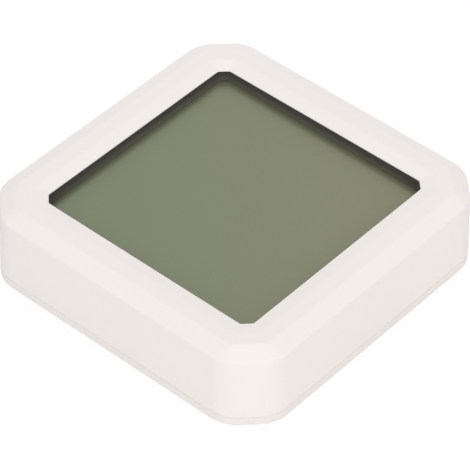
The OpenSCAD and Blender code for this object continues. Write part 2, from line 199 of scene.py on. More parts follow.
def rounded(corners, steps=6):
    """A side view: straight lines between corners (across, up, radius), with an arc of that radius at each.
    An arc turns from tangent point to tangent point about corner + bisector * radius / sin(half angle)."""
    spots = np.array([c[:2] for c in corners], float)
    share = np.linspace(0, 1, steps + 1)[:, None]
    line = []
    for i, (_, _, radius) in enumerate(corners):
        if radius == 0:
            line.append(spots[i:i + 1])
            continue
        back, on = spots[i - 1] - spots[i], spots[(i + 1) % len(spots)] - spots[i]
        back, on = back / np.linalg.norm(back), on / np.linalg.norm(on)
        half = math.acos(np.clip(back @ on, -1, 1)) / 2
        middle = spots[i] + (back + on) / np.linalg.norm(back + on) * radius / math.sin(half)
        start, stop = (spots[i] + way * radius / math.tan(half) - middle for way in (back, on))
        turn = math.pi - 2 * half
        arc = np.sin((1 - share) * turn) * start + np.sin(share * turn) * stop
        line.append(middle + arc / math.sin(turn))
    return np.concatenate(line)


def cut_square(half, radius, cut, sides):
    """Plans of a square with a flat across each corner, one row for each half size, radius and cut: points
    (half, s) along a side, then two arcs about (half - radius, half - radius - flat) and its mirror, turned
    four times."""
    half, radius, cut = (np.asarray(v, float).reshape(-1, 1) for v in (half, radius, cut))
    flat = cut - CUT_SHARE * radius
    turn = np.linspace(0, math.pi / 4, ARC + 1)
    on = turn + math.pi / 4
    near, far = half - radius, half - radius - flat
    low = np.stack([near + radius * np.cos(turn), far + radius * np.sin(turn)], -1)
    high = np.stack([far + radius * np.cos(on), near + radius * np.sin(on)], -1)
    plans = []
    for side, (c, s) in zip(sides, QUARTERS):
        run = np.stack([half + 0 * side, side + 0 * half], -1)
        x, y = np.moveaxis(np.concatenate([run, low, high], 1), -1, 0)
        plans.append(np.stack([c * x - s * y, s * x + c * y], -1))
    return np.concatenate(plans, 1)


def body_plan(out, size, sides):
    """The body's plan, one row for each distance out from its side. The arcs shrink fast over the frame's
    outer slope, so that the flats across the corners show there, and then down to the window's own."""
    out = np.asarray(out, float)
    width = BODY - size.window / 2
    radius = size.corner_radius
    cut = size.corner_cut + CUT_SHARE * radius
    radii = np.interp(-out, [0.2, 1.2, 2.3, width], [radius, radius / 2, radius / 3.5, size.window_edge])
    cuts = np.interp(-out, [0, width], [cut, size.window_cut])
    return cut_square(BODY + out, radii, cuts, sides)


def oblong(half, radius, out, arc=4):
    """Plans of a rectangle with rounded corners, one row for each distance out: centre + r (cos t, sin t)."""
    out = np.asarray(out, float).reshape(-1, 1)
    r = np.maximum(radius + out, 0)
    turn = (np.linspace(0, math.pi / 2, arc + 1) + np.arange(4)[:, None] * math.pi / 2).ravel()
    right, upper = np.repeat([1, -1, -1, 1], arc + 1), np.repeat([1, 1, -1, -1], arc + 1)
    x = right * (half[0] + out - r) + r * np.cos(turn)
    y = upper * (half[1] + out - r) + r * np.sin(turn)
    return np.stack([x, y], -1)


def round_hole(plan, radius, at):
    """Circles about a place, one row for each radius, with points in the directions of one plan's points."""
    way = plan - np.asarray(at)
    way = way / np.linalg.norm(way, axis=-1, keepdims=True)
    return np.asarray(at) + np.asarray(radius, float).reshape(-1, 1, 1) * way


def even_ring(plan, radius):
    """Circles of evenly spread points, one row for each radius, in step with the points of an oblong."""
    turn = (np.arange(plan.shape[1]) + 0.5) * math.tau / plan.shape[1]
    return np.asarray(radius, float).reshape(-1, 1, 1) * np.stack([np.cos(turn), np.sin(turn)], -1)


def lifted(plan, z):
    """Each row of a plan at its own height."""
    z = np.broadcast_to(np.asarray(z, float).reshape(-1, 1, 1), plan.shape[:2] + (1,))
    return np.concatenate([plan, z], -1)


def lathe(side, count=64):
    """A side view (radius, z) turned about the z axis."""
    turn = np.arange(count) * math.tau / count
    z = np.repeat(side[:, 1:], count, 1)
    return np.stack([side[:, :1] * np.cos(turn), side[:, :1] * np.sin(turn), z], -1)


def disc(radius, low, high, edges=(0, 0), steps=6, count=64):
    """A round plate: a side view with a radius at its lower and its upper edge, turned about the z axis."""
    middle = radius / 4
    side = [(middle, low, 0), (radius, low, edges[0]), (radius, high, edges[1]), (middle, high, 0)]
    return lathe(rounded(side, steps), count)


def block(half, radius, low, high, edge, steps=3):
    """A plate or block: a rectangle's plan carried up a side view with rounded edges."""
    side = rounded([(-2 * edge, low, 0), (0, low, edge), (0, high, edge), (-2 * edge, high, 0)], steps)
    return lifted(oblong(half, radius, side[:, 0]), side[:, 1])


def ribbon(path, thick, wide):
    """A strip of rectangular section along a path (a, b): path +- mitre * thick / 2, +- wide / 2 across."""
    path = np.asarray(path, float)
    step = np.diff(path, axis=0)
    step = step / np.linalg.norm(step, axis=1, keepdims=True)
    side = np.stack([-step[:, 1], step[:, 0]], -1)
    last = np.concatenate([side, side[-1:]])
    mitre = np.concatenate([side[:1], side]) + last
    mitre = mitre / (mitre * last).sum(1, keepdims=True)
    left, right = path + mitre * thick / 2, path - mitre * thick / 2
    across = np.broadcast_to(np.array([1, 1, -1, -1]) * wide / 2, (len(path), 4))
    return np.concatenate([np.stack([left, right, right, left], 1), across[..., None]], -1)


def bent_strip(path, thick, wide):
    """A ribbon whose path (x, z) stands upright, with its width along y."""
    return ribbon(path, thick, wide)[..., [0, 2, 1]]


def bent_lead(edge, knees, top, foot, radius, thick, wide):
    """A lead that leaves a body's edge at the height top, bends at two knees and ends level at its foot."""
    root, reach = edge - 0.1, edge + 1
    path = [(root, top, 0), (edge + knees[0], top, radius), (edge + knees[1], foot, radius), (reach, foot, 0)]
    return bent_strip(rounded(path, 3), thick, wide)


def placed(shape, spots):
    """Copies of a shape, moved to each spot (x, y)."""
    spots = np.asarray(spots, float).reshape(-1, 2)
    return shape + np.concatenate([spots, np.zeros((len(spots), 1))], 1)[:, None, None]


def turned(shape, quarters):
    """Copies of a shape, turned about the z axis by whole quarters."""
    x, y, z = np.moveaxis(shape, -1, 0)
    turns = [QUARTERS[k] for k in quarters]
    copies = [np.stack([c * x - s * y, s * x + c * y, z], -1) for c, s in turns]
    return np.concatenate([copy.reshape((-1,) + shape.shape[-3:]) for copy in copies])


def skin(points, spots=((0, 0),), closed=False):
    """Vertices and faces of a grid moved to each spot, or of several grids moved to one: columns join up, and
    rows too where it is closed. Otherwise a fan closes each end. Faces turn outwards by the volume's sign."""
    points = placed(points, spots)
    count, rows, columns = points.shape[:3]
    i, j = np.arange(rows if closed else rows - 1)[:, None], np.arange(columns)
    i_on, j_on = (i + 1) % rows * columns, (j + 1) % columns
    quads = np.stack([i * columns + j, i * columns + j_on, i_on + j_on, i_on + j], -1).reshape(-1, 4)
    spots = points.reshape(count, -1, 3)
    fans = np.zeros((0, 3), int)
    if not closed:
        ends = np.stack([points[:, 0].mean(1), points[:, -1].mean(1)], 1)
        spots = np.concatenate([spots, ends], 1)
        pole, top = rows * columns, (rows - 1) * columns
        first = np.stack([0 * j + pole, j_on, j], -1)
        last = np.stack([0 * j + pole + 1, top + j, top + j_on], -1)
        fans = np.concatenate([first, last])
    corners = np.concatenate([quads[:, :3], quads[:, [0, 2, 3]], fans])
    a, b, c = (spots[0][corners[:, n]] - spots[0].mean(0) for n in range(3))
    if (a * np.cross(b, c)).sum() < 0:
        quads, fans = quads[:, ::-1], fans[:, ::-1]
    start = np.arange(count)[:, None, None] * spots.shape[1]
    faces = (quads + start).reshape(-1, 4).tolist() + (fans + start).reshape(-1, 3).tolist()
    return spots.reshape(-1, 3), faces


def place_of(node):
    """A node's half sizes and middle in x and y, then its lowest and highest z."""
    low, high = BOX[node]
    return (high - low)[:2] / 2, ((high + low) / 2)[:2], low[2], high[2]


def part_places(node, long, wide):
    """Middles of the blocks, alike in size, that make up a node: a block's lower left corner is one with
    others to its right and above that."""
    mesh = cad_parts[node].data
    flat = np.zeros(len(mesh.vertices) * 3)
    mesh.vertices.foreach_get("co", flat)
    corners = {tuple(spot) for spot in np.round(flat.reshape(-1, 3)[:, :2] / MM, 3).tolist()}
    found = []
    for x, y in corners:
        right, upper = round(x + long, 3), round(y + wide, 3)
        if (right, y) in corners and (right, upper) in corners:
            found.append((x + long / 2, y + wide / 2))
    return sorted(found)


def piece(name, body, look, skins, node=None):
    """One object from skins, in metres, that rides on a body, has a finish and may stand for a node."""
    starts = np.cumsum([0] + [len(spots) for spots, _ in skins])
    faces = [[n + int(start) for n in face] for (_, many), start in zip(skins, starts) for face in many]
    mesh = bpy.data.meshes.new(name)
    mesh.from_pydata((np.concatenate([spots for spots, _ in skins]) * MM).tolist(), [], faces)
    work = bmesh.new()
    work.from_mesh(mesh)
    bmesh.ops.remove_doubles(work, verts=work.verts, dist=MERGE)
    work.to_mesh(mesh)
    work.free()
    mesh.polygons.foreach_set("use_smooth", np.ones(len(mesh.polygons), bool))
    mesh.set_sharp_from_angle(angle=SHARP)
    mesh.materials.append(finish(look))
    made = bpy.data.objects.new(name, mesh)
    bpy.context.scene.collection.objects.link(made)
    flats = made.modifiers.new("Flat faces", "WEIGHTED_NORMAL")
    flats.keep_sharp = True
    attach(made, body)
    if node:
        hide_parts(node)
    return made


def dress(node, look):
    """Gives a CAD node that keeps its shape a finish."""
    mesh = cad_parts[node].data
    if mesh.materials:
        mesh.materials[0] = finish(look)
    else:
        mesh.materials.append(finish(look))


# Finishes: each function gives one kind's shader values, and the table after them lists every finish


def add(tree, kind, inputs=(), **settings):
    """One node: settings are its attributes, and inputs are its values or links, by name or place. A node
    that is given as an input is linked by the first output that it has in use."""
    node = tree.nodes.new("ShaderNode" + kind)
    for key, value in settings.items():
        setattr(node, key, value)
    for key, value in dict(inputs).items():
        named = [socket for socket in node.inputs if socket.enabled and socket.name == key]
        socket = named[0] if named else node.inputs[key]
        if isinstance(value, bpy.types.Node):
            value = next(output for output in value.outputs if output.enabled)
        if isinstance(value, bpy.types.NodeSocket):
            tree.links.new(value, socket)
        else:
            socket.default_value = value
    return node


def rgba(shade, scale=1.0):
    """A colour property as four numbers, made lighter or darker by a factor."""
    return (*[min(1.0, c * scale) for c in shade], 1.0)


def blank(name):
    """A new material without nodes."""
    made = bpy.data.materials.new(name)
    made.use_nodes = True
    made.node_tree.nodes.clear()
    return made


def moulded_plastic(tree, at, shade):
    """ABS or acetal, injection moulded in a finely eroded mould: a satin white with a soft, uneven sheen."""
    grain = bpy.context.scene.sensor_sizes.grain
    fine = add(tree, "TexNoise", {"Vector": at, "Scale": 1 / grain, "Detail": 2.0})
    cloud = add(tree, "TexNoise", {"Vector": at, "Scale": 1 / (14 * MM), "Detail": 1.0})
    tint = add(tree, "Mix", {"Factor": cloud, "A": rgba(shade), "B": rgba(shade, 0.975)}, data_type="RGBA")
    sheen = add(tree, "MapRange", {"Value": fine, "To Min": 0.36, "To Max": 0.44})
    bump = add(tree, "Bump", {"Height": fine, "Strength": 0.12, "Distance": 0.012 * MM})
    return {"Base Color": tint, "Roughness": sheen, "IOR": 1.53, "Normal": bump}


def cut_foam(tree, at, shade):
    """Closed-cell foam, die cut: a dull charcoal with open pores, with painted light and shade: lighter at
    its foot in the display's light, darker up to its top edge in the shade under the rim.
    """
    low, high = BOX["display_gasket"][:, 2] * MM
    pores = add(tree, "TexVoronoi", {"Vector": at, "Scale": 1 / (0.22 * MM)})
    depth = add(tree, "MapRange", {"Value": pores, "From Max": 0.6})
    height = add(tree, "SeparateXYZ", {0: at}).outputs["Z"]
    rise = add(tree, "MapRange", {"Value": height, "From Min": low, "From Max": high})
    # Painted light and shade: the foam's colour is lifted at its foot, as if lit by the display, and dimmed
    # up to its top edge, as if shaded by the rim
    painted_light_and_shade = add(tree, "Mix", {"Factor": rise, "A": rgba(shade, 2.2), "B": rgba(shade, 0.47)},
                 data_type="RGBA")
    tint = add(tree, "Mix", {"Factor": 0.35, "A": painted_light_and_shade, "B": depth},
               data_type="RGBA", blend_type="MULTIPLY")
    bump = add(tree, "Bump", {"Height": depth, "Strength": 0.4, "Distance": 0.04 * MM})
    return {"Base Color": tint, "Roughness": 0.92, "Normal": bump}


def display_film(tree, at, shade):
    """Reflective display under its anti-glare polariser: a green-grey, blurred mirror of the room with fine
    sparkle. The liquid crystal's tint drifts from a colder to a warmer green from x + y = -20 to 20 mm."""
    place = add(tree, "SeparateXYZ", {0: at}).outputs
    along = add(tree, "Math", {0: place["X"], 1: place["Y"]}, operation="ADD")
    drift = add(tree, "MapRange", {"Value": along, "From Min": -20 * MM, "From Max": 20 * MM})
    cold, warm = np.array(shade) * (0.925, 0.985, 0.955), np.array(shade) * (1.045, 1.015, 1.025)
    green = add(tree, "Mix", {"Factor": drift, "A": rgba(cold), "B": rgba(warm)}, data_type="RGBA")
    sparkle = add(tree, "TexNoise", {"Vector": at, "Scale": 1 / (0.16 * MM), "Detail": 1.0})
    grain = add(tree, "MapRange", {"Value": sparkle, "To Min": 0.95, "To Max": 1.05})
    tint = add(tree, "Mix", {"Factor": 1.0, "A": green, "B": grain}, data_type="RGBA", blend_type="MULTIPLY")
    sheen = add(tree, "MapRange", {"Value": sparkle, "To Min": 0.27, "To Max": 0.33})
    bump = add(tree, "Bump", {"Height": sparkle, "Strength": 0.1, "Distance": 0.01 * MM})
    return {"Base Color": tint, "Roughness": sheen, "Metallic": 0.44, "Normal": bump}


def float_glass(tree, at, shade):
    """Thin float glass with ground edges: clear, with a green tint and a faint, uneven haze."""
    ground = add(tree, "TexNoise", {"Vector": at, "Scale": 1 / (0.2 * MM)})
    rough = add(tree, "MapRange", {"Value": ground, "To Min": 0.02, "To Max": 0.12})
    return {"Base Color": rgba(shade), "Roughness": rough, "IOR": 1.52, "Transmission Weight": 1.0}


def worked_metal(tree, at, shade, rough, grain, draw=(1, 1, 1), depth=0.01):
    """Plated or drawn metal: a grey mirror dulled by fine marks, narrower along each axis by its draw."""
    drawn = add(tree, "Mapping", {"Vector": at, "Scale": draw})
    marks = add(tree, "TexNoise", {"Vector": drawn, "Scale": 1 / (grain * MM), "Detail": 3.0})
    tint = add(tree, "Mix", {"Factor": marks, "A": rgba(shade, 0.9), "B": rgba(shade, 1.06)},
               data_type="RGBA")
    dull = add(tree, "MapRange", {"Value": marks, "To Min": rough[0], "To Max": rough[1]})
    bump = add(tree, "Bump", {"Height": marks, "Strength": 0.2, "Distance": depth * MM})
    return {"Base Color": tint, "Roughness": dull, "Metallic": 1.0, "Normal": bump}


def turned_steel(tree, at, shade):
    """Stainless sheet, drawn and face-turned: rings of fine marks round the cell's middle. They are
    0.3 mm apart, which is coarser than the real ones, so that they show."""
    middle = add(tree, "Mapping", {"Vector": at, "Location": (*(-CELL_AT * MM), 0)})
    marks = {"Vector": middle, "Scale": WAVE / (0.3 * MM), "Distortion": 0.6, "Detail": 1.0}
    rings = add(tree, "TexWave", marks, wave_type="RINGS", rings_direction="Z").outputs[1]
    dull = add(tree, "MapRange", {"Value": rings, "To Min": 0.22, "To Max": 0.36})
    tint = add(tree, "Mix", {"Factor": rings, "A": rgba(shade, 0.95), "B": rgba(shade, 1.03)},
               data_type="RGBA")
    bump = add(tree, "Bump", {"Height": rings, "Strength": 0.05, "Distance": 0.01 * MM})
    return {"Base Color": tint, "Roughness": dull, "Metallic": 1.0, "Normal": bump}


def masked_board(tree, at, mask, laminate):
    """Glass-fibre laminate under solder mask: satin green over a visible weave, with straw-coloured edges."""
    weave = add(tree, "TexBrick", {
        "Vector": at, "Scale": 1 / MM, "Color1": rgba(mask, 1.12), "Color2": rgba(mask, 0.94),
        "Mortar": rgba(mask, 0.82), "Mortar Size": 0.03, "Brick Width": 0.5, "Row Height": 0.5,
    }, offset=0.5)
    fibre = add(tree, "TexNoise", {"Vector": at, "Scale": 1 / (0.12 * MM), "Detail": 2.0})
    ends = {"Factor": fibre, "A": rgba(laminate, 0.75), "B": rgba(laminate, 1.1)}
    cut = add(tree, "Mix", ends, data_type="RGBA")
    facing = add(tree, "SeparateXYZ", {0: add(tree, "NewGeometry").outputs["True Normal"]}).outputs["Z"]
    flat = add(tree, "Math", {0: facing}, operation="ABSOLUTE")
    tint = add(tree, "Mix", {"Factor": flat, "A": cut, "B": weave}, data_type="RGBA")
    dull = add(tree, "MapRange", {"Value": flat, "To Min": 0.85, "To Max": 0.38})
    return {"Base Color": tint, "Roughness": dull, "IOR": 1.5}


def speckled(tree, at, shade, rough, grain, spread=0.12):
    """Filled resin, nylon, ceramic or ink, moulded, fired or printed: a dull colour with a fine speckle."""
    fleck = add(tree, "TexNoise", {"Vector": at, "Scale": 1 / (grain * MM), "Detail": 3.0})
    shades = {"Factor": fleck, "A": rgba(shade, 1 - spread), "B": rgba(shade, 1 + spread)}
    tint = add(tree, "Mix", shades, data_type="RGBA")
    dull = add(tree, "MapRange", {"Value": fleck, "To Min": rough - 0.06, "To Max": rough + 0.06})
    bump = add(tree, "Bump", {"Height": fleck, "Strength": 0.25, "Distance": 0.008 * MM})
    return {"Base Color": tint, "Roughness": dull, "IOR": 1.52, "Normal": bump}


def layered_rubber(tree, at, shade):
    """Silicone contact strip: grey rubber with carbon layers, 0.1 mm apart and drawn at 0.25 mm to show."""
    spacing = {"Vector": at, "Scale": WAVE / (0.25 * MM), "Distortion": 0.4, "Detail": 1.0}
    layers = add(tree, "TexWave", spacing, bands_direction="X").outputs[1]
    tint = add(tree, "Mix", {"Factor": layers, "A": rgba(shade, 0.12), "B": rgba(shade, 1.6)},
               data_type="RGBA")
    return {"Base Color": tint, "Roughness": 0.6, "IOR": 1.41}


FINISHES = {
    "abs_shell_moulded": (moulded_plastic, "shell"),
    "abs_cover_moulded": (moulded_plastic, "cover"),
    "abs_button_moulded": (moulded_plastic, "button"),
    "abs_carrier_moulded": (moulded_plastic, "tray"),
    "acetal_moulded": (moulded_plastic, "plunger"),
    "foam_die_cut": (cut_foam, "foam"),
    "polariser_antiglare": (display_film, "display"),
    "glass_float_ground": (float_glass, "glass"),
    "silicone_layered": (layered_rubber, "rubber"),
    "laminate_solder_masked": (masked_board, "mask", "laminate"),
    "steel_drawn_can": (turned_steel, "steel"),
    # Metals: roughness from and to, size of the marks in mm, their draw along x, y and z, and depth in mm
    "film_metallised": (worked_metal, "reflector", (0.4, 0.55), 0.2),  # silver, evenly frosted
    "gold_immersion_plated": (worked_metal, "gold", (0.25, 0.4), 0.2),  # a soft yellow gleam
    "tin_reflowed": (worked_metal, "tin", (0.28, 0.42), 0.3),  # bright grey, a little uneven
    "steel_zinc_plated": (worked_metal, "steel", (0.24, 0.4), 0.25),  # cool grey, finely mottled
    "steel_stamped": (worked_metal, "steel", (0.24, 0.38), 0.4, (8, 1, 1)),  # cool grey, lined by the mill
    "steel_nickel_plated": (worked_metal, "nickel", (0.2, 0.34), 0.5, (8, 1, 1), 0.002),  # warm and smooth
    "steel_seam_welded": (worked_metal, "nickel", (0.2, 0.34), 0.4, (1, 6, 1), 0.002),  # warm, faintly lined
    # Filled and fired materials and inks: roughness, size of the fleck in mm, and its change of colour
    "resin_moulded": (speckled, "resin", 0.55, 0.1),  # dull black with a fine filler
    "resin_laser_marked": (speckled, "mark", 0.7, 0.1),  # burnt to a flat grey
    "nylon_glass_filled": (speckled, "nylon", 0.5, 0.15),  # satin black with fibres near its surface
    "ceramic_fired_tan": (speckled, "barium", 0.5, 0.12),  # matt tan
    "ceramic_fired_cream": (speckled, "ceramic", 0.45, 0.15, 0.06),  # smooth cream
    "copper_under_mask": (speckled, "copper", 0.36, 0.2, 0.08),  # satin green, brighter than the board
    "ink_screen_printed": (speckled, "ink", 0.6, 0.1, 0.05),  # flat white
    "membrane_expanded": (speckled, "ink", 0.8, 0.08, 0.04),  # chalky white
}


def finish(name):
    """A finish of the table, made on its first use: a shader with the values that its function gives. Words
    in its row are names of colours, and patterns read Object coordinates, which are in metres."""
    if name in bpy.data.materials:
        return bpy.data.materials[name]
    make, *values = FINISHES[name]
    colours = bpy.context.scene.sensor_colours
    values = [getattr(colours, value) if isinstance(value, str) else value for value in values]
    made = blank(name)
    tree = made.node_tree
    at = add(tree, "TexCoord").outputs["Object"]
    shader = add(tree, "BsdfPrincipled", make(tree, at, *values))
    add(tree, "OutputMaterial", {"Surface": shader})
    return made


# Pieces


class SENSOR_OT_shell(bpy.types.Operator):
    """Front shell: a side view carried round the body's plan, with vents in a wall and screw bosses inside"""
    bl_idname = "sensor.shell"
    bl_label = "Front shell"

    def execute(self, context):
        size = in_mm(context)
        width = BODY - size.window / 2
        rim_z, edge_z = CREST - size.rim_drop, CREST - size.edge_drop
        lip_z, foot_z = rim_z - size.lip, PLATE_TOP + size.gap
        vent_low = SKIRT_TOP + size.vent_up
        vent_high = vent_low + size.vent_height

        def wall_out(z):
            return -size.lean * (z - foot_z) / (edge_z - foot_z)

        # Round the side view: the foot and its gap, up the wall, over the frame, and back under the lip
        side = rounded([
            (-size.wall, PLATE_TOP, 0.1), (-size.gap_depth, PLATE_TOP, 0), (-size.gap_depth, foot_z, 0),
            (0, foot_z + size.gap_rise, size.gap_radius),
            (wall_out(vent_low), vent_low, 0), (wall_out(vent_high), vent_high, 0),
            (-size.lean, edge_z, size.edge_radius), (-size.lean - size.edge_run, CREST, size.crest_outer),
            (size.rim_run - width, CREST, size.crest_inner), (-width, rim_z, size.rim_radius),
            (-width, lip_z, 0.05), (-size.wall, lip_z, 0.25),
            (-size.wall, vent_high, 0), (-size.wall, vent_low, 0),
        ], steps=12)
        # The +Y wall's points run towards -X, so the slots change sign along it
        vents = -BOX["climate_sensor"][:, 0].mean() + spaced(VENTS, size.vent_pitch)
        slots = np.stack([vents - size.vent_width / 2, vents + size.vent_width / 2], -1).ravel()
        upper = np.concatenate([[-SIDE], slots, np.linspace(slots[-1] + 1, SIDE, 7)])
        plain = np.linspace(-SIDE, SIDE, 9)
        points = lifted(body_plan(side[:, 0], size, (plain, upper, plain, plain)), side[:, 1])
        spots, faces = skin(points, closed=True)

        # Each vent leaves out a face of the outer wall and one of the inner, and four walls join their edges
        columns = points.shape[1]
        left = len(plain) + CORNER + 1 + 2 * np.arange(VENTS)
        outer = int(np.argmin(np.abs(side[:, 1] - vent_low) + np.abs(side[:, 0])))
        inner = int(np.argmin(np.abs(side[:, 1] - vent_high) + np.abs(side[:, 0] + size.wall)))
        out_low, out_high = outer * columns + left, (outer + 1) * columns + left
        in_high, in_low = inner * columns + left, (inner + 1) * columns + left
        gone = set(out_low.tolist() + in_high.tolist())
        faces = [face for n, face in enumerate(faces) if n not in gone]
        walls = np.stack([
            [out_low, out_low + 1, in_low + 1, in_low], [out_high + 1, out_high, in_high, in_high + 1],
            [out_high, out_low, in_low, in_high], [out_low + 1, out_high + 1, in_high + 1, in_low + 1],
        ])
        faces += np.moveaxis(walls, 1, -1).reshape(-1, 4).tolist()

        # Bosses: posts under the lip with a pilot hole, which is open towards the board
        pilot, post, hole_top, root = 0.62, 1.5, BOARD_BACK + 2.6, lip_z + 0.1
        boss = rounded([(0.2, hole_top, 0), (pilot, hole_top, 0), (pilot, BOARD_BACK, 0.1),
                        (post, BOARD_BACK, 0.15), (post, root, 0), (0.2, root, 0)])
        moulding = [(spots, faces), skin(lathe(boss, 32), SCREWS)]
        piece("shell_moulding", FRONT, "abs_shell_moulded", moulding, "front_shell")
        return {"FINISHED"}


class SENSOR_OT_cover(bpy.types.Operator):
    """Rear cover: a plate with a button hole and a fingernail notch, a ribbed skirt and a foam pad"""
    bl_idname = "sensor.cover"
    bl_label = "Rear cover"

    def execute(self, context):
        size = in_mm(context)
        notch, notch_low = size.notch_width / 2, PLATE_TOP - size.notch_height
        beside = np.linspace(-SIDE, -notch, 10)
        across = np.linspace(-notch, notch, 9)
        plain = np.linspace(-SIDE, SIDE, 29)
        sides = (plain, plain, np.concatenate([beside, across, -beside[::-1]]), plain)
        inside = -1.5
        side = rounded([(inside, 0, 0), (0, 0, size.foot_radius), (0, notch_low, 0), (0, notch_low, 0),
                        (0, PLATE_TOP, size.lip_radius), (inside, PLATE_TOP, 0)])
        plan = body_plan(side[:, 0], size, sides)
        # The notch's columns step back from its floor upwards
        back = body_plan(np.minimum(side[:, 0], -size.notch_depth), size, sides)
        floor_row = int(np.flatnonzero(side[:, 1] == notch_low)[-1])
        start = 2 * (len(plain) + CORNER) + len(beside)
        stop = start + len(across)
        plan[floor_row:, start:stop] = back[floor_row:, start:stop]
        hole_r, land_r = 2.3, 2.9
        hole = rounded([(land_r, PLATE_TOP, 0), (hole_r, PLATE_TOP, 0.1),
                        (hole_r, 0, 0.2), (land_r, 0, 0)], 4)
        rings = round_hole(plan[-1], hole[:, 0], BUTTON_AT)
        plate = skin(np.concatenate([lifted(plan, side[:, 1]), lifted(rings, hole[:, 1])]), closed=True)

        # Skirt and ribs start inside the plate, so that they are one with it
        outer = -size.wall - size.skirt_fit
        inner = outer - size.skirt
        wall = rounded([(inner, PLATE_TOP - 0.2, 0), (outer, PLATE_TOP - 0.2, 0), (outer, SKIRT_TOP, 0.3),
                        (inner, SKIRT_TOP, 0.15)])
        skirt = skin(lifted(body_plan(wall[:, 0], size, (plain,) * 4), wall[:, 1]), closed=True)
        rib, rib_at = block((0.2, 0.6), 0.1, PLATE_TOP - 0.1, SKIRT_TOP - 0.1, 0.15), 9
        ribs = skin(turned(placed(rib, [(BODY + outer, -rib_at), (BODY + outer, rib_at)]), range(4)))
        piece("cover_moulding", "base", "abs_cover_moulded", [plate, skirt, ribs], "rear_cover")

        pad_r = 4
        cushion = skin(disc(pad_r, *BOX["cell_pad"][:, 2], (0.08, 0.2)), CELL_AT)
        pad = piece("cell_cushion", "base", "foam_die_cut", [cushion], "cell_pad")
        return {"FINISHED"}


class SENSOR_OT_display(bpy.types.Operator):
    """Display: the gasket round the window, the films and glass, the carrier and its contact strips"""
    bl_idname = "sensor.display"
    bl_label = "Display"

    def execute(self, context):
        window = in_mm(context).window / 2
        low, high = BOX["display_gasket"][:, 2]
        # Across the gasket: the flange behind the lip, the liner against the rim, and the liner's inner face
        flange, liner, inside = window + 0.9, window - 0.03, window - 0.22
        flange_top, bevel = low + 0.25, high - 0.28
        side = rounded([(inside, low, 0.04), (flange, low, 0.05), (flange, flange_top, 0.05),
                        (liner, flange_top, 0), (liner, high, 0), (inside, bevel, 0.05)], steps=4)
        cuts = np.interp(side[:, 0], [inside, liner, flange], [0.82, 0.98, 0.4])
        radii = np.interp(side[:, 0], [inside, liner, flange], [0.3, 0.4, 0.3])
        plan = cut_square(side[:, 0], radii, cuts, (np.linspace(-SIDE, SIDE, 15),) * 4)
        ring = skin(lifted(plan, side[:, 1]), closed=True)
        gasket = piece("window_gasket", FRONT, "foam_die_cut", [ring], "display_gasket")

        for name, node, radius, edge, look, slot in (
                ("display_polariser", "lcd_polariser", 0.3, 0.03, "polariser_antiglare", "polariser_film"),
                ("display_front_glass", "lcd_front_glass", 0.25, 0.06, "glass_float_ground", "display_glass"),
                ("display_rear_glass", "lcd_rear_glass", 0.25, 0.06, "glass_float_ground", "display_glass"),
                ("display_reflector", "lcd_reflector", 0.3, 0.03, "film_metallised", "reflector_film")):
            sheet = block(BOX[node][1, :2], radius, *BOX[node][:, 2], edge)
            piece(name, FRONT, look, [skin(sheet)], node)
        dress("lcd_frame", "abs_carrier_moulded")
        dress("zebra_strips", "silicone_layered")
        return {"FINISHED"}


